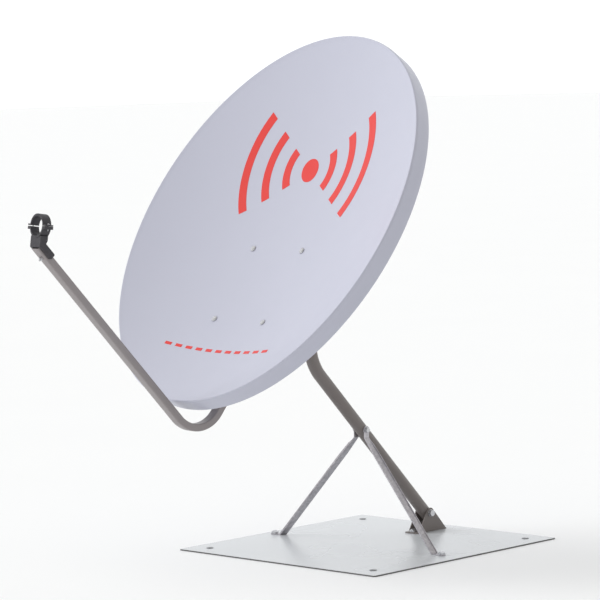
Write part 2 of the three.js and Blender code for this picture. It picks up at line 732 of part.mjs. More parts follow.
function reflectorShell() {
  const shares = Array.from({ length: BOWL_RINGS }, (_, index) => (index + 1) / BOWL_RINGS);
  const rings = [
    ...shares.map((share) => bowlRing(share, 0)),
    rimRing(3, 0.9),
    rimRing(1, -0.6),
    rimRing(0, -4),
    rimRing(0.4, -SKIRT_DEPTH + 2.5),
    rimRing(2, -SKIRT_DEPTH),
    rimRing(8, -SKIRT_DEPTH),
    rimRing(8, -SKIRT_DEPTH + SKIN),
    rimRing(2.4, -SKIRT_DEPTH + SKIN),
    rimRing(1.4, -SKIRT_DEPTH + 3.5),
    rimRing(SKIN, -4.5),
    rimRing(2.2, -1.6),
    ...shares.toReversed().map((share) => bowlRing(share, SKIN)),
  ];
  const backCentre = bowlPoint(0, 0).addScaledVector(bowlNormal(0, 0), -SKIN);
  const points = [bowlPoint(0, 0), ...rings.flat(), backCentre];
  const faces = [];
  const last = points.length - 1;
  const vertex = (ring, index) => 1 + ring * RIM_SEGMENTS + (index % RIM_SEGMENTS);
  for (let index = 0; index < RIM_SEGMENTS; index++) {
    faces.push(0, vertex(0, index), vertex(0, index + 1));
    faces.push(last, vertex(rings.length - 1, index + 1), vertex(rings.length - 1, index));
    for (let ring = 0; ring + 1 < rings.length; ring++) {
      faces.push(vertex(ring, index), vertex(ring + 1, index), vertex(ring + 1, index + 1));
      faces.push(vertex(ring, index), vertex(ring + 1, index + 1), vertex(ring, index + 1));
    }
  }
  const geometry = new THREE.BufferGeometry().setFromPoints(points);
  geometry.setIndex(faces);
  return geometry;
}

const REFLECTOR_BOLT_POINTS = [-1, 1].flatMap((sideY) =>
  [-1, 1].map((sideX) => {
    const across = (sideX * BOLT_SPACING_X) / 2;
    const up = projectedUp(across, BOLT_CENTRE_V + (sideY * BOLT_SPACING_V) / 2);
    const level = sideY < 0 ? "lower" : "upper";
    const side = sideX < 0 ? "left" : "right";
    return { name: `${level}_${side}`, point: bowlPoint(across, up), normal: bowlNormal(across, up) };
  }),
);

function reflector() {
  const holes = REFLECTOR_BOLT_POINTS.map(({ point, normal }) =>
    rod(
      REFLECTOR_BOLT / 2 + GAP,
      point.clone().addScaledVector(normal, -8),
      point.clone().addScaledVector(normal, 8),
      BOLT_SIDES,
    ),
  );
  return cut(reflectorShell(), ...holes);
}

const NUT_STANDOFF = FRAME_BACK + SHEET + 1;

function buildReflector(group) {
  piece(group, "reflector", reflector(), REFLECTOR_PAINT);
  for (const { name, point, normal } of REFLECTOR_BOLT_POINTS) {
    const back = normal.clone().negate();
    const seat = point.clone().addScaledVector(normal, 2 * GAP);
    const nutPoint = point.clone().addScaledVector(back, NUT_STANDOFF);
    fasten(group, `reflector_bolt_${name}`, domedBolt(REFLECTOR_BOLT, 20, 7, 3.2), seat, back);
    fasten(group, `reflector_nut_${name}`, hexNut(REFLECTOR_BOLT), nutPoint, back);
  }
}

// ---- Rear bracket, in a frame on the plane through its four bolts --------------------------

// The head frame seen from the side: positions as (Y, Z)
const FACE_UP = new THREE.Vector2(0, 1).rotateAround(new THREE.Vector2(), -radians(FACE_ELEVATION));
const FACE_NORMAL = new THREE.Vector2(-FACE_UP.y, FACE_UP.x);

function headPlane(facePoint) {
  const result = new THREE.Vector2(RIM_CENTRE_Y, RIM_CENTRE_Z);
  result.addScaledVector(FACE_UP, facePoint.y);
  return result.addScaledVector(FACE_NORMAL, facePoint.z);
}

const LOWER_BOLTS = headPlane(REFLECTOR_BOLT_POINTS[0].point);
const UPPER_BOLTS = headPlane(REFLECTOR_BOLT_POINTS[2].point);
const BRACKET_CENTRE = LOWER_BOLTS.clone().add(UPPER_BOLTS).multiplyScalar(0.5);
const BRACKET_UP = UPPER_BOLTS.clone().sub(LOWER_BOLTS).normalize();
const BRACKET_BACK = new THREE.Vector2(BRACKET_UP.y, -BRACKET_UP.x);

// The bracket's bolts in its own frame
const BRACKET_BOLT_POINTS = REFLECTOR_BOLT_POINTS.map(({ point }) => {
  const offset = headPlane(point).sub(BRACKET_CENTRE);
  return { x: point.x, y: offset.dot(BRACKET_UP) };
});

// A head-frame point as (height along the bracket, distance behind it)
function inBracket(y, z) {
  const offset = new THREE.Vector2(y, z).sub(BRACKET_CENTRE);
  return new THREE.Vector2(offset.dot(BRACKET_UP), offset.dot(BRACKET_BACK));
}

// A point of the bracket's side view as (Y, Z) of the head frame
function fromBracket(height, back) {
  const result = BRACKET_CENTRE.clone().addScaledVector(BRACKET_UP, height);
  return result.addScaledVector(BRACKET_BACK, back);
}

const PIVOT = inBracket(PIVOT_Y, PIVOT_Z);
const LOCK_ANGLE = inBracket(PIVOT_Y, LOCK_Z).sub(PIVOT).angle();
const SLOT_START = LOCK_ANGLE - radians(ELEVATION_UP);
const SLOT_END = LOCK_ANGLE + radians(ELEVATION_DOWN);
const FRAME_HALF_WIDTH = 100;
const FRAME_HALF_HEIGHT = 112;
const WINDOW_HIGH = 80;
const WINDOW_LOW = -85;
const BOSS_TOP = 2.5;

// Both ears in side view: X is the height along the bracket, Y the distance behind it
function earShape() {
  const shape = new THREE.Shape();
  const edge = LOCK_RADIUS + 12;
  shape.moveTo(ARM_WEB_BOTTOM, FRAME_BACK);
  shape.lineTo(FRAME_HALF_HEIGHT, FRAME_BACK);
  shape.lineTo(FRAME_HALF_HEIGHT, FRAME_BACK + 14);
  shape.absarc(PIVOT.x, PIVOT.y, 16, radians(15), radians(100));
  shape.absarc(PIVOT.x, PIVOT.y, edge, SLOT_START - radians(9), SLOT_END - radians(2));
  shape.lineTo(ARM_WEB_TOP, ARM_WEB_BACK + SHEET);
  shape.lineTo(ARM_WEB_BOTTOM, ARM_WEB_BACK + SHEET);
  shape.closePath();
  const halfSlot = LOCK_BOLT / 2 + 0.6;
  const slot = new THREE.Path();
  slot.absarc(PIVOT.x, PIVOT.y, LOCK_RADIUS + halfSlot, SLOT_START, SLOT_END);
  const endAt = (angle) => [
    PIVOT.x + LOCK_RADIUS * Math.cos(angle),
    PIVOT.y + LOCK_RADIUS * Math.sin(angle),
  ];
  slot.absarc(...endAt(SLOT_END), halfSlot, SLOT_END, SLOT_END + Math.PI);
  slot.absarc(PIVOT.x, PIVOT.y, LOCK_RADIUS - halfSlot, SLOT_END, SLOT_START, true);
  slot.absarc(...endAt(SLOT_START), halfSlot, SLOT_START + Math.PI, SLOT_START + 2 * Math.PI);
  slot.closePath();
  shape.holes.push(slot);
  return shape;
}

// From (height, back) in side view to the bracket's own X, Y up and Z forward
function bracketSide(shape, lowX, highX, curveSegments = 5) {
  const basis = new THREE.Matrix4().makeBasis(Y_AXIS, Z_AXIS.clone().negate(), X_AXIS.clone().negate());
  return extrude(shape, highX - lowX, curveSegments).applyMatrix4(basis).translate(highX, 0, 0);
}

function rearBracket() {
  const frame = roundedRectangle(2 * FRAME_HALF_WIDTH, 2 * FRAME_HALF_HEIGHT, 14);
  const window = new THREE.Path();
  window.moveTo(-EAR_INNER, WINDOW_LOW);
  window.lineTo(EAR_INNER, WINDOW_LOW);
  window.lineTo(EAR_INNER, WINDOW_HIGH);
  window.lineTo(-EAR_INNER, WINDOW_HIGH);
  window.closePath();
  frame.holes.push(window);
  const bosses = BRACKET_BOLT_POINTS.map(({ x, y }) => {
    const boss = new THREE.CylinderGeometry(9, 13, FRAME_BACK - BOSS_TOP + 0.2, 16).rotateX(Math.PI / 2);
    return boss.translate(x, y, -(FRAME_BACK + BOSS_TOP + 0.2) / 2);
  });
  const web = box(
    -EAR_OUTER,
    ARM_WEB_BOTTOM,
    -ARM_WEB_BACK - SHEET,
    EAR_OUTER,
    ARM_WEB_TOP,
    -ARM_WEB_BACK,
  );
  const solid = join(
    layFlat(frame, -FRAME_BACK - SHEET, -FRAME_BACK),
    bracketSide(earShape(), -EAR_OUTER, -EAR_INNER),
    bracketSide(earShape(), EAR_INNER, EAR_OUTER),
    web,
    ...bosses,
  );
  const boltHoles = BRACKET_BOLT_POINTS.map(({ x, y }) =>
    rod(REFLECTOR_BOLT / 2 + 1.4, new THREE.Vector3(x, y, -20), new THREE.Vector3(x, y, 5)),
  );
  const pivotHole = crossHole(PIVOT_BOLT, PIVOT.x, -PIVOT.y, 60);
  return cut(solid, pivotHole, ...boltHoles, ...armBoltHoles());
}

const ARM_CENTRE_BACK = ARM_WEB_BACK + SHEET + GAP + ARM_DEPTH / 2;

function armBoltHoles() {
  return ARM_BOLT_DROPS.map((drop) =>
    rod(
      ARM_BOLT / 2 + GAP,
      new THREE.Vector3(0, -drop, -ARM_WEB_BACK + 10),
      new THREE.Vector3(0, -drop, -ARM_WEB_BACK - 40),
    ),
  );
}

function buildRearBracket(group) {
  piece(group, "rear_bracket", rearBracket(), MOUNT_PAINT);
  const seatX = EAR_OUTER + GAP;
  crossBoltAndNut(group, "elevation_pivot", PIVOT.x, -PIVOT.y, seatX, PIVOT_BOLT);
  const forward = new THREE.Vector3(0, 0, 1);
  const seatZ = -ARM_CENTRE_BACK - ARM_DEPTH / 2 - GAP;
  ARM_BOLT_DROPS.forEach((drop, index) => {
    const seat = new THREE.Vector3(0, -drop, seatZ);
    const nutPoint = new THREE.Vector3(0, -drop, -ARM_WEB_BACK + GAP);
    fasten(group, `arm_bolt_${index + 1}`, hexBolt(ARM_BOLT, 30), seat, forward);
    fasten(group, `arm_nut_${index + 1}`, hexNut(ARM_BOLT), nutPoint, forward);
  });
}

// ---- Feed arm, in the head frame -----------------------------------------------------------

const atSide = ({ x: y, y: z }) => new THREE.Vector3(0, y, z);
const ARM_REAR_END = fromBracket(ARM_WEB_TOP, ARM_CENTRE_BACK);
const ARM_CORNER_POINT = fromBracket(-ARM_CORNER_DROP, ARM_CENTRE_BACK);
const ARM_FORWARD = new THREE.Vector2(-1, 0).rotateAround(
  new THREE.Vector2(),
  -radians(ARM_FRONT_ELEVATION),
);
const ARM_INWARD = new THREE.Vector2(ARM_FORWARD.y, -ARM_FORWARD.x);
const ARM_FRONT_END = ARM_CORNER_POINT.clone().addScaledVector(ARM_FORWARD, ARM_FRONT_LENGTH);
const HOLDER_BOLT_POINT = ARM_FRONT_END.clone().addScaledVector(ARM_FORWARD, -HOLDER_BOLT_FROM_END);

// A hole square through the arm near its front end
function holderBoltHole() {
  const inside = HOLDER_BOLT_POINT.clone().addScaledVector(ARM_INWARD, 30);
  const outside = HOLDER_BOLT_POINT.clone().addScaledVector(ARM_INWARD, -30);
  return rod(HOLDER_BOLT / 2 + GAP, atSide(inside), atSide(outside), BOLT_SIDES);
}

function feedArm() {
  const section = roundedRectangle(ARM_WIDTH, ARM_DEPTH, ARM_CORNER);
  const bore = roundedRectangle(ARM_WIDTH - 2 * ARM_WALL, ARM_DEPTH - 2 * ARM_WALL, ARM_CORNER / 2);
  section.holes.push(bore);
  const axis = new BentAxis(
    atSide(ARM_REAR_END),
    atSide(ARM_CORNER_POINT),
    atSide(ARM_FRONT_END),
    ARM_BEND_RADIUS,
    14,
  );
  const rearHoles = ARM_BOLT_DROPS.map((drop) =>
    rod(
      ARM_BOLT / 2 + GAP,
      atSide(fromBracket(-drop, ARM_CENTRE_BACK - 20)),
      atSide(fromBracket(-drop, ARM_CENTRE_BACK + 20)),
      BOLT_SIDES,
    ),
  );
  return cut(tube(section, axis, 1), holderBoltHole(), ...rearHoles);
}

// A plastic plug in the arm's upper rear end, in the bracket's frame
function armEndPlug() {
  const head = layFlat(roundedRectangle(ARM_WIDTH, ARM_DEPTH, ARM_CORNER), 0, 2.5, 3);
  const slack = 2 * (ARM_WALL + GAP);
  const neck = layFlat(roundedRectangle(ARM_WIDTH - slack, ARM_DEPTH - slack, 1), -10, 0.5, 3);
  return join(head, neck).rotateX(-Math.PI / 2);
}

function buildArm(headGroup, bracketGroup) {
  piece(headGroup, "feed_arm", feedArm(), ARM_PAINT);
  const plug = piece(bracketGroup, "feed_arm_end_plug", armEndPlug(), GREY_PLASTIC);
  plug.position.set(0, ARM_WEB_TOP + GAP, -ARM_CENTRE_BACK);
}

// ---- Feed holder, in a frame at the ring's centre with Y along the beam into the dish ------

// A side-view vector of the head frame turned into the ring's tilted frame
function inRing(vector) {
  return vector.clone().rotateAround(new THREE.Vector2(), radians(RING_TILT));
}

const RING_CENTRE = new THREE.Vector2(RING_Y, RING_Z);
const RING_ARM_END = inRing(ARM_FRONT_END.clone().sub(RING_CENTRE));
const RING_ARM_FORWARD = inRing(ARM_FORWARD);
const RING_ARM_INWARD = inRing(ARM_INWARD);

// A point beside the arm's front end: how far beyond the end, and how far towards the dish
function besideArm(along, inward) {
  const point = RING_ARM_END.clone().addScaledVector(RING_ARM_FORWARD, along);
  point.addScaledVector(RING_ARM_INWARD, inward);
  return [point.x, point.y];
}

// Half of the split ring in front view, with a screw ear at each side
function halfRing(earThickness, rightSplit, leftSplit) {
  const shape = new THREE.Shape();
  const earAngle = (split) => Math.asin((split + earThickness) / RING_HALF_HEIGHT);
  shape.moveTo(EAR_REACH, rightSplit);
  shape.lineTo(EAR_REACH, rightSplit + earThickness);
  shape.absellipse(
    0,
    0,
    RING_HALF_WIDTH,
    RING_HALF_HEIGHT,
    earAngle(rightSplit),
    Math.PI - earAngle(leftSplit),
  );
  shape.lineTo(-EAR_REACH, leftSplit + earThickness);
  shape.lineTo(-EAR_REACH, leftSplit);
  shape.absarc(
    0,
    0,
    RING_BORE,
    Math.PI - Math.asin(leftSplit / RING_BORE),
    Math.asin(rightSplit / RING_BORE),
    true,
  );
  shape.closePath();
  return standFacing(shape, -RING_HALF_LENGTH, RING_HALF_LENGTH, 9);
}

function screwHoles() {
  return [-CAP_SCREW_X, CAP_SCREW_X].map((x) =>
    rod(CAP_SCREW / 2 + GAP, new THREE.Vector3(x, 0, -20), new THREE.Vector3(x, 0, 20), BOLT_SIDES),
  );
}

function feedHolder() {
  const saddleTop = ARM_DEPTH / 2 + GAP + SADDLE_WALL;
  const body = outline([
    [HOLDER_FRONT, -RING_BORE],
    [HOLDER_FRONT, -HOLDER_DROP],
    besideArm(1.5, -SADDLE_SIDE_DEPTH),
    besideArm(-SADDLE_REACH + 3, -SADDLE_SIDE_DEPTH),
    besideArm(-SADDLE_REACH, 0),
    besideArm(-SADDLE_REACH, saddleTop - 2),
    besideArm(-SADDLE_REACH + 2, saddleTop),
    besideArm(-4, saddleTop),
    [HOLDER_REAR, -HOLDER_DROP + 14],
    [HOLDER_REAR, -RING_BORE],
  ]);
  const slotSide = outline([
    besideArm(GAP, ARM_DEPTH / 2 + GAP),
    besideArm(GAP, -ARM_DEPTH),
    besideArm(-SADDLE_REACH - 10, -ARM_DEPTH),
    besideArm(-SADDLE_REACH - 10, ARM_DEPTH / 2 + GAP),
  ]);
  const halfSlot = ARM_WIDTH / 2 + GAP;
  const boltInside = besideArm(-HOLDER_BOLT_FROM_END, 30);
  const boltOutside = besideArm(-HOLDER_BOLT_FROM_END, -30);
  return cut(
    join(
      halfRing(6, RING_SPLIT_LEFT, RING_SPLIT_RIGHT).rotateY(Math.PI),
      standSideways(body, -HOLDER_HALF_WIDTH, HOLDER_HALF_WIDTH),
    ),
    standSideways(slotSide, -halfSlot, halfSlot),
    rod(RING_BORE, new THREE.Vector3(0, -30, 0), new THREE.Vector3(0, 30, 0), 32),
    rod(
      HOLDER_BOLT / 2 + GAP,
      new THREE.Vector3(0, ...boltInside),
      new THREE.Vector3(0, ...boltOutside),
      BOLT_SIDES,
    ),
    ...screwHoles(),
  );
}

function buildFeedHolder(group) {
  piece(group, "feed_holder", feedHolder(), BLACK_PLASTIC);
  const cap = cut(halfRing(3, RING_SPLIT_RIGHT, RING_SPLIT_LEFT), ...screwHoles());
  piece(group, "feed_clamp_cap", cap, BLACK_PLASTIC);
  const ears = [
    ["left", -CAP_SCREW_X, RING_SPLIT_LEFT],
    ["right", CAP_SCREW_X, RING_SPLIT_RIGHT],
  ];
  for (const [side, x, split] of ears) {
    const seat = new THREE.Vector3(x, 0, split + 3 + GAP);
    const down = new THREE.Vector3(0, 0, -1);
    fasten(group, `cap_screw_${side}`, domedBolt(CAP_SCREW, 13, 2.6, 2), seat, down);
  }
  const seatInward = ARM_DEPTH / 2 + 2 * GAP + SADDLE_WALL;
  const seat = new THREE.Vector3(0, ...besideArm(-HOLDER_BOLT_FROM_END, seatInward));
  const nutPoint = new THREE.Vector3(
    0,
    ...besideArm(-HOLDER_BOLT_FROM_END, -ARM_DEPTH / 2 - GAP),
  );
  const outward = new THREE.Vector3(0, -RING_ARM_INWARD.x, -RING_ARM_INWARD.y);
  const length = seatInward + ARM_DEPTH / 2 + nutHeight(HOLDER_BOLT) + 4;
  fasten(group, "feed_holder_bolt", hexBolt(HOLDER_BOLT, length), seat, outward);
  fasten(group, "feed_holder_nut", hexNut(HOLDER_BOLT), nutPoint, outward);
}

// ---- The whole dish ------------------------------------------------------------------------

function buildDish() {
  const dish = new THREE.Group();
  buildStand(dish);

  const head = new THREE.Group();
  head.position.set(STAND_X, MAST_AXIS_Y, 0);
  head.rotation.z = radians(HEAD_AZIMUTH);
  dish.add(head);
  buildAzimuthHead(head);

  const face = new THREE.Group();
  face.position.set(0, RIM_CENTRE_Y, RIM_CENTRE_Z);
  face.rotation.x = radians(90 - FACE_ELEVATION);
  head.add(face);
  buildReflector(face);

  const bracket = new THREE.Group();
  bracket.position.set(0, BRACKET_CENTRE.x, BRACKET_CENTRE.y);
  bracket.rotation.x = BRACKET_UP.angle();
  head.add(bracket);
  buildRearBracket(bracket);
  buildArm(head, bracket);

  const ring = new THREE.Group();
  ring.position.set(0, RING_Y, RING_Z);
  ring.rotation.x = -radians(RING_TILT);
  head.add(ring);
  buildFeedHolder(ring);
  return dish;
}

export default buildDish();
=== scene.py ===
# Looks of an offset satellite dish on a bent mast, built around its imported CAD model.
# Shapes are worked out in millimetres, in the CAD's own frames, and placed in metres.
import json
import math

import bpy
import numpy as np
from mathutils import Matrix, Vector


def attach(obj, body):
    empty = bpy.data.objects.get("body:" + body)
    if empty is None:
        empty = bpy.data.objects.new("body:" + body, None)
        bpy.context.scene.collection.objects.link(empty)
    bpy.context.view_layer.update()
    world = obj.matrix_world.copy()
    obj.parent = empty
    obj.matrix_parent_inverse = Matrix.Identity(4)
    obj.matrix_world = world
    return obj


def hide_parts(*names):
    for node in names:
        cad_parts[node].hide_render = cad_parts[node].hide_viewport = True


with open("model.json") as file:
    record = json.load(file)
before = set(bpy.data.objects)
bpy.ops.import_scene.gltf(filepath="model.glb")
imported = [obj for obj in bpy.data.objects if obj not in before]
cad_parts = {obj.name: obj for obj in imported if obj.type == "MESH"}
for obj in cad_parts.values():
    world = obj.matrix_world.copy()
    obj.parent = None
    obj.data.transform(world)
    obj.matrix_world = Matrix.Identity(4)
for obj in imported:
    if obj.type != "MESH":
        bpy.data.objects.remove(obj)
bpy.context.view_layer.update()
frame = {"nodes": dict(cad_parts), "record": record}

RECORD = frame["record"]
BODY_OF = {node: body for body, nodes in RECORD["behaviour"]["bodies"].items() for node in nodes}
SLOT_OF = {part["node"]: part["material_slot"] for part in RECORD["subparts"]}

# ---- Driving dimensions, in millimetres and degrees, the same as the CAD's ------------------

STAND_X = -11
MAST_RADIUS, MAST_WALL = 14, 1.8
MAST_AXIS_Y, MAST_CORNER_Z, MAST_TOP_Z = -152.7, 416.8, 695
MAST_BEND_RADIUS, MAST_TAIL = 100, 22
FOOT_Y, FOOT_PIVOT_Z = 203, 45.1
HEAD_AZIMUTH = -6

FACE_ELEVATION, BEAM_OFFSET = 33, 21.4
RIM_CENTRE_Y, RIM_CENTRE_Z = -119.6, 746.1
RIM_HEIGHT, RIM_WIDTH, RIM_ROLL = 900, 838, 5
SKIRT_DEPTH, SKIN, BOWL_DEPTH = 39.5, 1, 81
BOLT_SPACING_X, BOLT_SPACING_V, BOLT_CENTRE_V = 165, 182, -136

ARM_WIDTH, ARM_DEPTH, ARM_WALL, ARM_CORNER = 25, 16, 1.5, 3
ARM_BEND_RADIUS, ARM_CORNER_DROP = 68, 363
ARM_FRONT_ELEVATION, ARM_FRONT_LENGTH = 48.5, 591
ARM_WEB_TOP, ARM_CENTRE_BACK = -25, 64.6

# ---- Camera, fitted to the photograph's viewing angle ---------------------------------------

CAMERA_TARGET = Vector((-0.011, -0.180, 0.557))
CAMERA_DISTANCE = 6.237
CAMERA_AZIMUTH, CAMERA_ELEVATION, CAMERA_ROLL = 44.588, 4.496, -1.658
CAMERA_LENS, CAMERA_SENSOR = 173.4, 36

# ---- Frames ---------------------------------------------------------------------------------

METRES = Matrix.Scale(0.001, 4)


def turned(degrees, axis):
    return Matrix.Rotation(math.radians(degrees), 4, axis)


STAND = METRES @ Matrix.Translation((STAND_X, 0, 0))
HEAD = STAND @ Matrix.Translation((0, MAST_AXIS_Y, 0)) @ turned(HEAD_AZIMUTH, "Z")
FACE = HEAD @ Matrix.Translation((0, RIM_CENTRE_Y, RIM_CENTRE_Z)) @ turned(90 - FACE_ELEVATION, "X")

# ---- Meshes ---------------------------------------------------------------------------------


def link(name, mesh, material, sharp=30):
    """A new piece from a mesh, smooth but for the edges that turn more than the sharp angle."""
    mesh.shade_smooth()
    mesh.set_sharp_from_angle(angle=math.radians(sharp))
    piece = bpy.data.objects.new(name, mesh)
    bpy.context.collection.objects.link(piece)
    mesh.materials.clear()
    mesh.materials.append(material)
    return piece


def stands_for(piece, node):
    """The piece replaces this CAD node and moves with its body."""
    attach(piece, BODY_OF[node])
    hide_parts(node)


class Shell:
    """Points and faces of one piece, gathered from lofted rings."""

    def __init__(self):
        self.points = []
        self.faces = []

    def loft(self, rings, looped=False):
        """Rings of equal length, joined in order. They close on themselves, or end in flat caps."""
        start = len(self.points)
        count = len(rings[0])
        for ring in rings:
            self.points.extend(ring)

        def at(ring, index):
            return start + (ring % len(rings)) * count + index % count

        faces = []
        for ring in range(len(rings) if looped else len(rings) - 1):
            for index in range(count):
                corners = [(ring, index), (ring, index + 1), (ring + 1, index + 1), (ring + 1, index)]
                faces.append([at(*corner) for corner in corners])
        if not looped:
            faces.append([at(0, index) for index in reversed(range(count))])
            faces.append([at(len(rings) - 1, index) for index in range(count)])
        outward = self.volume_of(faces) > 0
        self.faces.extend(face if outward else face[::-1] for face in faces)

    def volume_of(self, faces):
        """Six times the volume inside closed faces, negative where they point inward."""
        total = 0
        for face in faces:
            first, *others = [Vector(self.points[index]) for index in face]
            total += sum(first.dot(second.cross(third)) for second, third in zip(others, others[1:]))
        return total

    def build(self, name, material, matrix, sharp=30):
        """The piece, its points placed by a matrix that takes millimetres to the CAD's metres."""
        mesh = bpy.data.meshes.new(name)
        mesh.from_pydata([matrix @ Vector(point) for point in self.points], [], self.faces)
        return link(name, mesh, material, sharp)


def circle(radius, sides):
    angles = [2 * math.pi * index / sides for index in range(sides)]
    return [(radius * math.cos(angle), radius * math.sin(angle)) for angle in angles]


# A bolt head's hexagonal and round rings have the same number of points, so that they join up.
HEAD_SIDES = 48


def round_ring(radius, z, sides=HEAD_SIDES):
    return [(x, y, z) for x, y in circle(radius, sides)]


def rounded_rectangle(width, height, radius, steps=6):
    points = []
    for quarter, (side_x, side_y) in enumerate([(1, 1), (-1, 1), (-1, -1), (1, -1)]):
        for step in range(steps + 1):
            angle = math.pi / 2 * (quarter + step / steps)
            x = side_x * (width / 2 - radius) + radius * math.cos(angle)
            y = side_y * (height / 2 - radius) + radius * math.sin(angle)
            points.append((x, y))
    return points


def bent_path(start, corner, end, radius, bend_steps):
    """(point, direction) along two straight runs and the round bend between them."""
    inbound = (corner - start).normalized()
    outbound = (end - corner).normalized()
    turn = inbound.angle(outbound)
    hinge = inbound.cross(outbound).normalized()
    entry = corner - inbound * radius * math.tan(turn / 2)
    centre = entry + hinge.cross(inbound) * radius
    stations = [(start, inbound)]
    for step in range(bend_steps + 1):
        spin = Matrix.Rotation(turn * step / bend_steps, 3, hinge)
        stations.append((centre + spin @ (entry - centre), spin @ inbound))
    stations.append((end, outbound))
    return stations


def swept_ring(station, section):
    """A section of (x, y) points set square to the path, with x to the right."""
    point, direction = station
    across = Vector((1, 0, 0))
    beside = direction.cross(across)
    return [point + across * x + beside * y for x, y in section]


def tube(path, outer, inner):
    """A hollow bar along a path, open at both ends."""
    shell = Shell()
    rings = [swept_ring(station, outer) for station in path]
    rings += [swept_ring(station, inner) for station in reversed(path)]
    shell.loft(rings, looped=True)
    return shell


# In metres, as the CAD's meshes are.
WELD_DISTANCE = 1e-6
BEVEL_FROM_ANGLE, BEVEL_SEGMENTS = 32, 2
FLAT_SHARP_ANGLE, FLAT_FACE_WEIGHT = 20, 90


def refined(node, bevel):
    """A copy of a CAD node with its edges broken, flat faces flat and round ones smooth."""
    draft = bpy.data.objects.new(node + "_finished", frame["nodes"][node].data.copy())
    bpy.context.collection.objects.link(draft)
    weld = draft.modifiers.new("weld", "WELD")
    weld.merge_threshold = WELD_DISTANCE
    edges = draft.modifiers.new("edges", "BEVEL")
    edges.width = bevel * 0.001
    edges.segments = BEVEL_SEGMENTS
    edges.limit_method = "ANGLE"
    edges.angle_limit = math.radians(BEVEL_FROM_ANGLE)
    edges.use_clamp_overlap = True
    shown = draft.evaluated_get(bpy.context.evaluated_depsgraph_get())
    final = bpy.data.meshes.new_from_object(shown)
    bpy.data.objects.remove(draft)
    finished = link(node + "_finished", final, finish_of(node), sharp=FLAT_SHARP_ANGLE)
    normals = finished.modifiers.new("normals", "WEIGHTED_NORMAL")
    normals.weight = FLAT_FACE_WEIGHT
    normals.keep_sharp = True
    stands_for(finished, node)


# ---- Materials ------------------------------------------------------------------------------

# The colour sockets of a Mix node.
MIX_FIRST, MIX_SECOND, MIX_RESULT = 6, 7, 2


def map_range(nodes, links, value, start, end, low, high):
    """A value's run from start to end, mapped to low to high and held there beyond."""
    spread = nodes.new("ShaderNodeMapRange")
    spread.inputs["From Min"].default_value = start
    spread.inputs["From Max"].default_value = end
    spread.inputs["To Min"].default_value = low
    spread.inputs["To Max"].default_value = high
    links.new(value, spread.inputs["Value"])
    return spread.outputs["Result"]


class Finish:
    """A Principled material whose colour, roughness and bump come from textures in object space."""

    def __init__(self, name, roughness, metallic=0.0, coat=0.0):
        self.material = bpy.data.materials.new(name)
        self.material.use_nodes = True
        self.nodes = self.material.node_tree.nodes
        self.links = self.material.node_tree.links
        self.shader = self.nodes["Principled BSDF"]
        self.shader.inputs["Metallic"].default_value = metallic
        self.shader.inputs["Roughness"].default_value = roughness
        self.shader.inputs["Coat Weight"].default_value = coat
        self.shader.inputs["Coat Roughness"].default_value = 0.25
        self.place = self.nodes.new("ShaderNodeTexCoord").outputs["Object"]

    def noise(self, scale, detail):
        texture = self.nodes.new("ShaderNodeTexNoise")
        texture.inputs["Scale"].default_value = scale
        texture.inputs["Detail"].default_value = detail
        self.links.new(self.place, texture.inputs["Vector"])
        return texture.outputs["Fac"]

    def cells(self, scale):
        """A random grey for each cell of a scatter of them."""
        texture = self.nodes.new("ShaderNodeTexVoronoi")
        texture.inputs["Scale"].default_value = scale
        self.links.new(self.place, texture.inputs["Vector"])
        grey = self.nodes.new("ShaderNodeRGBToBW")
        self.links.new(texture.outputs["Color"], grey.inputs["Color"])
        return grey.outputs["Val"]

    def ranged(self, value, low, high, start=0.3, end=0.7):
        """A texture's middle range spread out from low to high."""
        return map_range(self.nodes, self.links, value, start, end, low, high)

    def blend(self, share, first, second):
        """Two colours, each a triple or another node's output, mixed by a texture."""
        mix = self.nodes.new("ShaderNodeMix")
        mix.data_type = "RGBA"
        self.links.new(share, mix.inputs["Factor"])
        for socket, colour in ((mix.inputs[MIX_FIRST], first), (mix.inputs[MIX_SECOND], second)):
            if isinstance(colour, tuple):
                socket.default_value = (*colour, 1)
            else:
                self.links.new(colour, socket)
        return mix.outputs[MIX_RESULT]

    def colour(self, output):
        self.links.new(output, self.shader.inputs["Base Color"])

    def roughness(self, output):
        self.links.new(output, self.shader.inputs["Roughness"])

    def bump(self, height, distance, strength):
        bump = self.nodes.new("ShaderNodeBump")
        bump.inputs["Distance"].default_value = distance
        bump.inputs["Strength"].default_value = strength
        self.links.new(height, bump.inputs["Height"])
        self.links.new(bump.outputs["Normal"], self.shader.inputs["Normal"])


def powder_coat(name, clean, worn, rough, peel=700, coat=0.0):
    """Sprayed paint: soft orange peel, faint clouding and fine grain."""
    finish = Finish(name, rough, coat=coat)
    clouds = finish.ranged(finish.noise(scale=4, detail=5), 0.0, 0.8, start=0.25, end=0.75)
    grain = finish.ranged(finish.noise(scale=900, detail=4), 0.0, 0.45, start=0.35, end=0.75)
    finish.colour(finish.blend(grain, finish.blend(clouds, clean, worn), worn))
    finish.roughness(finish.ranged(finish.noise(scale=28, detail=5), rough - 0.03, rough + 0.05))
    finish.bump(finish.noise(scale=peel, detail=2), distance=0.00008, strength=0.25)
    return finish.material


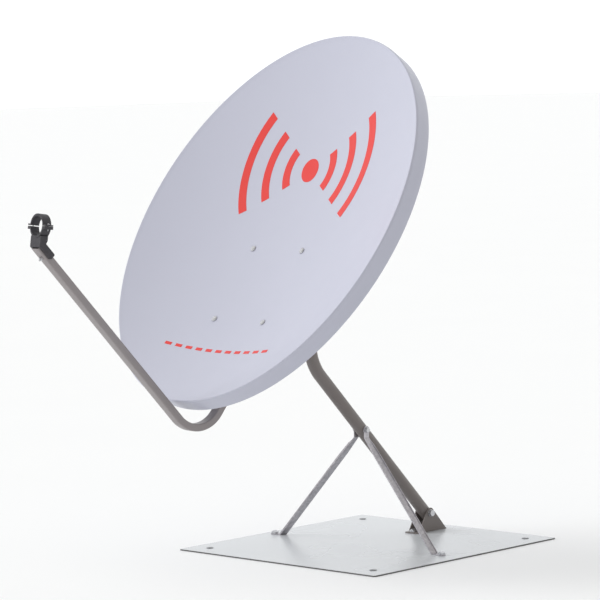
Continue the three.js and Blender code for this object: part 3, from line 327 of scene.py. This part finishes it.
def painted_sheet(name, clean, worn, edge_shade, rough):
    """Smooth satin paint on the flat faces of a level sheet, with painted shade on its edges and
    underside.
    """
    finish = Finish(name, rough)
    clouds = finish.ranged(finish.noise(scale=3, detail=4), 0.0, 1.0, start=0.25, end=0.75)
    # Painted shade: faces turned away from straight up, the edges and underside, are mixed to the dark
    # colour.
    split = finish.nodes.new("ShaderNodeSeparateXYZ")
    coordinates = finish.place.node
    finish.links.new(coordinates.outputs["Normal"], split.inputs["Vector"])
    painted_shade_share = finish.ranged(split.outputs["Z"], 1.0, 0.0, start=0.3, end=0.8)
    finish.colour(finish.blend(painted_shade_share, finish.blend(clouds, clean, worn), edge_shade))
    finish.roughness(finish.ranged(finish.noise(scale=5, detail=2), rough - 0.01, rough + 0.01))
    return finish.material


def plated_steel(name, light, dark, rough, grain=900):
    """Zinc plate: small bright and dull crystals, faint stains and fine grain."""
    finish = Finish(name, rough, metallic=0.85)
    crystals = finish.ranged(finish.cells(scale=grain), 0.0, 1.0, start=0.1, end=0.9)
    stains = finish.ranged(finish.noise(scale=90, detail=6), 0.0, 0.6, start=0.45, end=0.75)
    finish.colour(finish.blend(stains, finish.blend(crystals, light, dark), dark))
    finish.roughness(finish.ranged(finish.noise(scale=240, detail=4), rough - 0.07, rough + 0.12))
    finish.bump(finish.noise(scale=1600, detail=3), distance=0.00005, strength=0.4)
    return finish.material


def moulded_plastic(name, clean, worn, rough):
    """Spark-eroded mould texture with paler scuffs."""
    finish = Finish(name, rough)
    scuffs = finish.ranged(finish.noise(scale=120, detail=7), 0.0, 0.7, start=0.52, end=0.8)
    finish.colour(finish.blend(scuffs, clean, worn))
    finish.roughness(finish.ranged(finish.noise(scale=60, detail=4), rough - 0.08, rough + 0.1))
    finish.bump(finish.noise(scale=2200, detail=2), distance=0.0001, strength=0.5)
    return finish.material


FINISHES = {
    "reflector_paint": powder_coat(
        "reflector_paint", (0.485, 0.494, 0.585), (0.47, 0.479, 0.57), 0.38, coat=0.1
    ),
    "mount_paint": powder_coat("mount_paint", (0.168, 0.145, 0.138), (0.20, 0.178, 0.168), 0.42),
    "arm_paint": powder_coat("arm_paint", (0.305, 0.285, 0.292), (0.235, 0.205, 0.205), 0.38),
    # The plate's third colour is the painted shade of its edges and underside.
    "plate_paint": painted_sheet(
        "plate_paint", (0.58, 0.60, 0.62), (0.565, 0.585, 0.605), (0.10, 0.10, 0.10), 0.27
    ),
    "strut_steel": plated_steel("strut_steel", (0.60, 0.58, 0.61), (0.44, 0.425, 0.45), 0.42, grain=220),
    "zinc_steel": plated_steel("zinc_steel", (0.72, 0.73, 0.75), (0.50, 0.50, 0.52), 0.28),
    "dark_screw": plated_steel("dark_screw", (0.28, 0.28, 0.29), (0.17, 0.17, 0.18), 0.38),
    "black_plastic": moulded_plastic("black_plastic", (0.038, 0.036, 0.042), (0.075, 0.072, 0.08), 0.52),
    "grey_plastic": moulded_plastic("grey_plastic", (0.070, 0.070, 0.072), (0.11, 0.11, 0.112), 0.55),
}
RED_PRINT = powder_coat("red_print", (0.72, 0.030, 0.024), (0.66, 0.040, 0.034), 0.38, peel=900)


def finish_of(node):
    return FINISHES[SLOT_OF[node]]


# ---- Reflector ------------------------------------------------------------------------------

OFFSET_SIN = math.sin(math.radians(BEAM_OFFSET))
OFFSET_COS = math.cos(math.radians(BEAM_OFFSET))
BOWL_HALF_WIDTH = RIM_WIDTH / 2 - RIM_ROLL
BOWL_HALF_HEIGHT = RIM_HEIGHT / 2 - RIM_ROLL
RIM_SIDES = 240
BOWL_RINGS = 44


def bowl_point(across, up):
    """The point of the bowl's front, which dips along the beam and not square to the face."""
    share = 1 - (across / BOWL_HALF_WIDTH) ** 2 - (up / BOWL_HALF_HEIGHT) ** 2
    depth = BOWL_DEPTH * share
    return Vector((across, up - depth * OFFSET_SIN, -depth * OFFSET_COS))


def bowl_normal(across, up):
    slope_across = -2 * BOWL_DEPTH * across / BOWL_HALF_WIDTH**2
    slope_up = -2 * BOWL_DEPTH * up / BOWL_HALF_HEIGHT**2
    along_across = Vector((1, -slope_across * OFFSET_SIN, -slope_across * OFFSET_COS))
    along_up = Vector((0, 1 - slope_up * OFFSET_SIN, -slope_up * OFFSET_COS))
    return along_across.cross(along_up).normalized()


def projected_up(across, height):
    """The bowl coordinate of a point at that height on the face."""
    k = BOWL_DEPTH * OFFSET_SIN
    curve = k / BOWL_HALF_HEIGHT**2
    rest = height + k * (1 - (across / BOWL_HALF_WIDTH) ** 2)
    return (math.sqrt(1 + 4 * curve * rest) - 1) / (2 * curve)


def bowl_ring(share, back):
    """An ellipse of the bowl at that share of its size, set back from its front."""
    ring = []
    for x, y in circle(share, RIM_SIDES):
        across, up = x * BOWL_HALF_WIDTH, y * BOWL_HALF_HEIGHT
        ring.append(bowl_point(across, up) - bowl_normal(across, up) * back)
    return ring


def rim_ring(inset, z):
    """The rim's outline, drawn in by an inset, at a height over the face's plane."""
    ring = []
    for x, y in circle(0.5, RIM_SIDES):
        outward = Vector((x / RIM_WIDTH, y / RIM_HEIGHT)).normalized()
        ring.append((x * RIM_WIDTH - inset * outward.x, y * RIM_HEIGHT - inset * outward.y, z))
    return ring


def make_reflector():
    """One skin: bowl, rolled rim, skirt with its lip, and back again. The lists are (inset, z) pairs."""
    shares = [(index + 1) / BOWL_RINGS for index in range(BOWL_RINGS)]
    rolled_front = [(4, 0.55), (3, 0.9), (2.1, 0.75), (1.3, 0.05), (0.7, -1.1), (0.25, -2.5), (0, -4.5)]
    skirt = [(0, -6), (0.2, -16), (0.3, -26), (0.4, -36.5), (0.8, -38.3), (1.6, -39.2)]
    lip = [(2.8, -SKIRT_DEPTH), (5.5, -SKIRT_DEPTH), (8, -SKIRT_DEPTH)]
    lip += [(8, -38.6), (5.5, -38.6), (2.9, -38.6), (2.0, -38.2)]
    back = [(1.5, -36.4), (1.3, -26), (1.2, -16), (1.0, -6), (1.1, -4.4), (1.7, -2.2), (2.6, -0.6)]
    rings = [bowl_ring(share, 0) for share in shares]
    rings += [rim_ring(inset, z) for inset, z in rolled_front + skirt + lip + back]
    rings += [bowl_ring(share, SKIN) for share in reversed(shares)]
    shell = Shell()
    shell.loft(rings)
    stands_for(shell.build("reflector_pressing", finish_of("reflector"), FACE, sharp=50), "reflector")


def left_bolt_point(level):
    """Where the lower (-1) or the upper (1) of the two left bolts goes through the bowl."""
    across = -BOLT_SPACING_X / 2
    return bowl_point(across, projected_up(across, BOLT_CENTRE_V + level * BOLT_SPACING_V / 2))


# ---- Print on the face: a plain broadcast symbol and a dashed line --------------------------

PRINT_LIFT = (0.12, 0.32)
PRINT_SHARES = (-1, -0.5, 0, 0.5, 1)
SYMBOL_ACROSS, SYMBOL_UP = 0, 172
SYMBOL_ARC_RADII = (72, 132, 196)
SYMBOL_ARC_HALF_ANGLE, SYMBOL_ARC_STEPS = 34, 32
SYMBOL_ARC_HALF_WIDTH = 11
SYMBOL_DOT, SYMBOL_DOT_STEPS = 26, 24
DASH_UP, DASH_COUNT, DASH_PITCH = -292, 11, 33
DASH_LENGTH, DASH_HALF_WIDTH = 20, 4


def printed_section(row):
    """The ring round a row of (across, up) points: forth on the print's front, back on its rear."""
    low, high = PRINT_LIFT
    front = [bowl_point(*spot) + bowl_normal(*spot) * high for spot in row]
    return front + [bowl_point(*spot) + bowl_normal(*spot) * low for spot in reversed(row)]


def printed_strip(shell, line, half_width):
    """A flat band along a line of (across, up) points, closed all round."""
    rings = []
    for index, point in enumerate(line):
        before = line[max(index - 1, 0)]
        after = line[min(index + 1, len(line) - 1)]
        beside = Vector((before[1] - after[1], after[0] - before[0])).normalized()
        row = [Vector(point) + beside * half_width * share for share in PRINT_SHARES]
        rings.append(printed_section(row))
    shell.loft(rings)


def printed_arc(shell, radius, facing):
    shares = [2 * step / SYMBOL_ARC_STEPS - 1 for step in range(SYMBOL_ARC_STEPS + 1)]
    turns = [math.radians(facing + SYMBOL_ARC_HALF_ANGLE * share) for share in shares]
    centre = Vector((SYMBOL_ACROSS, SYMBOL_UP))
    line = [tuple(centre + radius * Vector((math.cos(turn), math.sin(turn)))) for turn in turns]
    printed_strip(shell, line, SYMBOL_ARC_HALF_WIDTH)


def printed_dot(shell):
    rings = []
    for step in range(1, SYMBOL_DOT_STEPS):
        turn = math.pi * step / SYMBOL_DOT_STEPS
        up, half_width = SYMBOL_UP - SYMBOL_DOT * math.cos(turn), SYMBOL_DOT * math.sin(turn)
        row = [(SYMBOL_ACROSS + half_width * share, up) for share in PRINT_SHARES]
        rings.append(printed_section(row))
    shell.loft(rings)


def printed_dashes(shell):
    for index in range(DASH_COUNT):
        middle = (index - (DASH_COUNT - 1) / 2) * DASH_PITCH
        line = [(middle + DASH_LENGTH / 2 * share, DASH_UP) for share in PRINT_SHARES]
        printed_strip(shell, line, DASH_HALF_WIDTH)


def make_print():
    shell = Shell()
    for radius in SYMBOL_ARC_RADII:
        printed_arc(shell, radius, 0)
        printed_arc(shell, radius, 180)
    printed_dot(shell)
    printed_dashes(shell)
    piece = shell.build("reflector_print", RED_PRINT, FACE)
    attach(piece, BODY_OF["reflector"])


# ---- Mast and its cap -----------------------------------------------------------------------

MAST_SIDES, MAST_BEND_STEPS = 72, 28
CAP_SIDES, CAP_OVERHANG, CAP_CLEARANCE = 64, 1, 0.3


def make_mast():
    foot = Vector((0, FOOT_Y, FOOT_PIVOT_Z))
    corner = Vector((0, MAST_AXIS_Y, MAST_CORNER_Z))
    top = Vector((0, MAST_AXIS_Y, MAST_TOP_Z))
    tail = (foot - corner).normalized() * MAST_TAIL
    path = bent_path(foot + tail, corner, top, MAST_BEND_RADIUS, MAST_BEND_STEPS)
    shell = tube(path, circle(MAST_RADIUS, MAST_SIDES), circle(MAST_RADIUS - MAST_WALL, MAST_SIDES))
    stands_for(shell.build("mast_bent_tube", finish_of("mast_tube"), STAND, sharp=40), "mast_tube")


def make_mast_cap():
    """A plug inside the tube under a low rounded top. The profile is (z, radius) pairs."""
    radius = MAST_RADIUS + CAP_OVERHANG
    plug = MAST_RADIUS - MAST_WALL - CAP_CLEARANCE
    profile = [(-12, plug - 1), (-11, plug), (0.3, plug), (0.3, radius - 0.3), (0.6, radius)]
    profile += [(1.6, radius), (2.4, radius - 0.3), (3.1, radius - 1.2), (3.6, radius - 3)]
    profile += [(3.9, radius - 7), (4.0, 1.0)]
    shell = Shell()
    shell.loft([round_ring(r, z, CAP_SIDES) for z, r in profile])
    matrix = STAND @ Matrix.Translation((0, MAST_AXIS_Y, MAST_TOP_Z))
    stands_for(shell.build("mast_cap_moulding", finish_of("mast_top_cap"), matrix), "mast_top_cap")


# ---- Feed arm -------------------------------------------------------------------------------

ARM_BEND_STEPS = 36


def on_face_side(point):
    """A point of the face's frame as (Y, Z) of the head."""
    turn = math.radians(90 - FACE_ELEVATION)
    y = RIM_CENTRE_Y + point.y * math.cos(turn) - point.z * math.sin(turn)
    z = RIM_CENTRE_Z + point.y * math.sin(turn) + point.z * math.cos(turn)
    return Vector((y, z))


def bracket_frame():
    """Centre, upward and backward directions of the plane of the four bolts, in the head's side view."""
    low, high = on_face_side(left_bolt_point(-1)), on_face_side(left_bolt_point(1))
    up = (high - low).normalized()
    return (low + high) / 2, up, Vector((up.y, -up.x))


def make_arm():
    centre, up, back = bracket_frame()
    rear = centre + up * ARM_WEB_TOP + back * ARM_CENTRE_BACK
    corner = centre - up * ARM_CORNER_DROP + back * ARM_CENTRE_BACK
    lift = math.radians(ARM_FRONT_ELEVATION)
    front = corner + Vector((-math.cos(lift), math.sin(lift))) * ARM_FRONT_LENGTH
    side = [Vector((0, point.x, point.y)) for point in (rear, corner, front)]
    path = bent_path(*side, ARM_BEND_RADIUS, ARM_BEND_STEPS)
    outer = rounded_rectangle(ARM_WIDTH, ARM_DEPTH, ARM_CORNER)
    inner = rounded_rectangle(ARM_WIDTH - 2 * ARM_WALL, ARM_DEPTH - 2 * ARM_WALL, ARM_CORNER / 2)
    shell = tube(path, outer, inner)
    stands_for(shell.build("feed_arm_bent_tube", finish_of("feed_arm"), HEAD, sharp=40), "feed_arm")


# ---- Fasteners, each made to the measure of its CAD node ------------------------------------

ON_AXIS = 0.5
OUTER_SHARE = 0.9
HEX_FLAT = math.cos(math.pi / 6)
HEX_CHAMFER_INNER, HEX_CHAMFER_DROP = 0.97, 0.6
HEX_CHAMFER_SHARES = (1.0, 0.66, 0.33, 0.0)
HEAD_TOP_SHARE = 0.8
THREAD_SIDES, THREAD_PITCH, THREAD_ROOT = 24, 0.3, 0.9
TIP_CHAMFER, TIP_SHARE = 0.4, 0.72
# The shank starts this far inside the head, so the two meet.
SHANK_OVERLAP = 0.05
WASHER_THICKNESS, WASHER_RADIUS = 0.4, 2.04
WASHER_CHAMFER, WASHER_EDGE_DROP = 0.2, 0.15
NUT_CHAMFER = 0.5
FLANGE_THICKNESS, FLANGE_SHARE, FLANGE_CHAMFER = 0.5, 0.35, 0.15
DOME_STEPS, DOME_FULLNESS = 13, 0.9


class Measured:
    """Axis, seat and radii of a fastener's CAD node. A bolt's axis runs from head to tip."""

    def __init__(self, node, is_nut=False, upright=False):
        source = frame["nodes"][node].data.vertices
        points = np.unique(np.round([tuple(vertex.co) for vertex in source], 6), axis=0) * 1000
        centre = points.mean(axis=0)
        spread = np.linalg.eigh(np.cov((points - centre).T))[1]
        axis = spread[:, 0] if is_nut else spread[:, 2]
        if upright:
            axis = np.array([0.0, 0.0, -1.0])
        along = (points - centre) @ axis
        radial = np.linalg.norm(points - centre - np.outer(along, axis), axis=1)
        wide = radial > OUTER_SHARE * radial.max()
        if not is_nut and along[wide].mean() > 0:
            axis, along = -axis, -along
        self.corner = float(radial.max())
        self.shank = float(radial[radial > ON_AXIS].min())
        self.head_top = float(along.min())
        self.seat = float(along[radial > (self.shank + self.corner) / 2].max())
        self.tip = float(along.max())
        turn = Vector((0, 0, 1)).rotation_difference(Vector(axis)).to_matrix().to_4x4()
        self.matrix = METRES @ Matrix.Translation(Vector(centre)) @ turn


def hex_ring(corner, limit, z):
    """A hexagon's outline, cut off at a radius by the chamfer."""
    ring = []
    for x, y in circle(1, HEAD_SIDES):
        angle = (math.atan2(y, x) + math.pi / 6) % (math.pi / 3) - math.pi / 6
        radius = min(corner * HEX_FLAT / math.cos(angle), limit)
        ring.append((x * radius, y * radius, z))
    return ring


def hexagon_rings(corner, low, high, both_ends):
    """A hexagonal prism chamfered at its high end, or at both."""
    inner = HEX_CHAMFER_INNER * corner * HEX_FLAT
    drop = HEX_CHAMFER_DROP * corner * (1 - HEX_FLAT)
    limits = [(share, inner + (corner - inner) * share) for share in HEX_CHAMFER_SHARES]
    high_end = [hex_ring(corner, limit, high - drop * share) for share, limit in limits]
    low_end = [hex_ring(corner, limit, low + drop * share) for share, limit in reversed(limits)]
    return (low_end if both_ends else [hex_ring(corner, corner, low)]) + high_end


def threaded(shell, radius, low, high):
    """A shank with rolled ridges and a chamfered tip."""
    pitch, root = THREAD_PITCH * radius, radius * THREAD_ROOT
    turns = max(int((high - low) / pitch) - 1, 1)
    profile = [(root, low)]
    for turn in range(turns):
        z = low + pitch * (turn + 0.5)
        profile += [(radius, z), (root, z + pitch / 2)]
    profile += [(root, high - TIP_CHAMFER), (radius * TIP_SHARE, high)]
    shell.loft([round_ring(r, z, THREAD_SIDES) for r, z in profile])


def make_hex_bolt(node):
    """A hexagonal head on a plain washer."""
    size = Measured(node)
    seat, washer, edge = size.seat, WASHER_THICKNESS * size.shank, WASHER_RADIUS * size.shank
    profile = [(edge - WASHER_CHAMFER, seat), (edge, seat - WASHER_EDGE_DROP)]
    profile += [(edge, seat - washer + WASHER_CHAMFER), (edge - WASHER_CHAMFER, seat - washer)]
    shell = Shell()
    shell.loft([round_ring(radius, z) for radius, z in profile])
    head = hexagon_rings(size.corner, washer - seat, -size.head_top, both_ends=False)
    head.append(round_ring(HEAD_TOP_SHARE * size.corner * HEX_FLAT, -size.head_top))
    shell.loft([[(x, -y, -z) for x, y, z in ring] for ring in head])
    threaded(shell, size.shank, seat - SHANK_OVERLAP, size.tip)
    stands_for(shell.build(node + "_detail", finish_of(node), size.matrix), node)


def make_nut(node):
    size = Measured(node, is_nut=True)
    low, high, bore = size.head_top, size.tip, size.shank
    rings = hexagon_rings(size.corner, low, high, both_ends=True)
    rings += [round_ring(bore + NUT_CHAMFER, high), round_ring(bore, high - NUT_CHAMFER)]
    rings += [round_ring(bore, low + NUT_CHAMFER), round_ring(bore + NUT_CHAMFER, low)]
    shell = Shell()
    shell.loft(rings, looped=True)
    stands_for(shell.build(node + "_detail", finish_of(node), size.matrix), node)


def make_domed_bolt(node, upright=False):
    """A smooth round head on a thin seating flange."""
    size = Measured(node, upright=upright)
    radius, height = size.corner, size.seat - size.head_top
    flange = min(FLANGE_THICKNESS, height * FLANGE_SHARE)
    rim = size.seat - flange / 2
    rings = [round_ring(radius - FLANGE_CHAMFER, size.seat), round_ring(radius, rim)]
    for step in range(1, DOME_STEPS):
        angle = math.pi / 2 * step / DOME_STEPS
        dome = (height - flange / 2) * math.sin(angle)
        rings.append(round_ring(radius * math.cos(angle) ** DOME_FULLNESS, rim - dome))
    shell = Shell()
    shell.loft(rings)
    threaded(shell, size.shank, size.seat - SHANK_OVERLAP, size.tip)
    stands_for(shell.build(node + "_detail", finish_of(node), size.matrix, sharp=40), node)


def make_fasteners():
    for node in sorted(frame["nodes"]):
        if "_nut" in node:
            make_nut(node)
        elif node.startswith("base_plate_screw"):
            make_domed_bolt(node, upright=True)
        elif node.startswith(("reflector_bolt", "cap_screw")):
            make_domed_bolt(node)
        elif "_bolt" in node:
            make_hex_bolt(node)


# ---- Sheet metal and mouldings kept from the CAD, with broken edges -------------------------

EDGE_BREAK, FINE_EDGE_BREAK = 0.5, 0.35


def make_finished_nodes():
    for node in ("base_plate", "foot_bracket", "clamp_bracket", "rear_bracket"):
        refined(node, EDGE_BREAK)
    for node in ("mast_saddle_lower", "mast_saddle_upper", "strut_left", "strut_right"):
        refined(node, FINE_EDGE_BREAK)
    for node in ("feed_holder", "feed_clamp_cap", "feed_arm_end_plug"):
        refined(node, EDGE_BREAK)


# ---- Studio ---------------------------------------------------------------------------------

FLOOR_REACH = 80
BRIGHT_SIDE, BRIGHT_SPREAD = (-0.8, 0.5, 0.1), (-1, 0.75)
WORLD_DIM, WORLD_BRIGHT = 0.36, 1.12
HORIZON_BAND = (0.12, 0.3)
COOL_WHITE, WARM_WHITE = (0.975, 0.988, 1.0, 1), (1.0, 0.97, 0.905, 1)
KEY_FROM = (-0.72, -0.5, 0.48)
KEY_STRENGTH, KEY_SOFTNESS = 1.7, 40


def make_floor():
    finish = Finish("studio_floor", 0.6)
    tone = finish.ranged(finish.noise(scale=1.5, detail=2), 0.0, 1.0)
    finish.colour(finish.blend(tone, (0.90, 0.905, 0.91), (0.895, 0.90, 0.905)))
    corners = [(x * FLOOR_REACH, y * FLOOR_REACH, 0) for x, y in ((-1, -1), (1, -1), (1, 1), (-1, 1))]
    mesh = bpy.data.meshes.new("studio_floor")
    mesh.from_pydata(corners, [], [(0, 1, 2, 3)])
    link("studio_floor", mesh, finish.material)


def make_world():
    """A white surround, dimmer and warmer on the camera's side, but even and bright near the horizon."""
    world = bpy.data.worlds.new("studio")
    world.use_nodes = True
    nodes, links = world.node_tree.nodes, world.node_tree.links
    direction = nodes.new("ShaderNodeTexCoord").outputs["Generated"]
    facing = nodes.new("ShaderNodeVectorMath")
    facing.operation = "DOT_PRODUCT"
    facing.inputs[1].default_value = Vector(BRIGHT_SIDE).normalized()
    links.new(direction, facing.inputs[0])
    split = nodes.new("ShaderNodeSeparateXYZ")
    links.new(direction, split.inputs["Vector"])
    sideways = map_range(nodes, links, facing.outputs["Value"], *BRIGHT_SPREAD, 0, 1)
    low_down = map_range(nodes, links, split.outputs["Z"], *HORIZON_BAND, 1, 0)
    share = nodes.new("ShaderNodeMath")
    share.operation = "MAXIMUM"
    links.new(sideways, share.inputs[0])
    links.new(low_down, share.inputs[1])
    level = map_range(nodes, links, share.outputs["Value"], 0, 1, WORLD_DIM, WORLD_BRIGHT)
    tint = nodes.new("ShaderNodeMix")
    tint.data_type = "RGBA"
    tint.inputs[MIX_FIRST].default_value = WARM_WHITE
    tint.inputs[MIX_SECOND].default_value = COOL_WHITE
    links.new(share.outputs["Value"], tint.inputs["Factor"])
    background = nodes["Background"]
    links.new(tint.outputs[MIX_RESULT], background.inputs["Color"])
    links.new(level, background.inputs["Strength"])
    bpy.context.scene.world = world


def make_key():
    """A soft sun that leaves no bright spot of itself on the paint."""
    data = bpy.data.lights.new("key", "SUN")
    data.energy = KEY_STRENGTH
    data.angle = math.radians(KEY_SOFTNESS)
    key = bpy.data.objects.new("key", data)
    key.rotation_euler = (-Vector(KEY_FROM)).to_track_quat("-Z", "Y").to_euler()
    key.visible_glossy = False
    bpy.context.collection.objects.link(key)


def make_camera():
    azimuth, elevation = math.radians(CAMERA_AZIMUTH), math.radians(CAMERA_ELEVATION)
    outward = Vector((
        math.sin(azimuth) * math.cos(elevation),
        -math.cos(azimuth) * math.cos(elevation),
        math.sin(elevation),
    ))
    right = Vector((math.cos(azimuth), math.sin(azimuth), 0))
    upward = outward.cross(right)
    basis = Matrix((right, upward, outward)).transposed().to_4x4()
    data = bpy.data.cameras.new("camera")
    data.sensor_width = CAMERA_SENSOR
    data.lens = CAMERA_LENS
    camera = bpy.data.objects.new("camera", data)
    place = Matrix.Translation(CAMERA_TARGET + outward * CAMERA_DISTANCE)
    camera.matrix_world = place @ basis @ Matrix.Rotation(math.radians(CAMERA_ROLL), 4, "Z")
    bpy.context.collection.objects.link(camera)
    bpy.context.scene.camera = camera


def make_studio():
    make_floor()
    make_world()
    make_key()
    make_camera()
    bpy.context.scene.view_settings.view_transform = "Standard"


make_reflector()
make_print()
make_mast()
make_mast_cap()
make_arm()
make_fasteners()
make_finished_nodes()
make_studio()
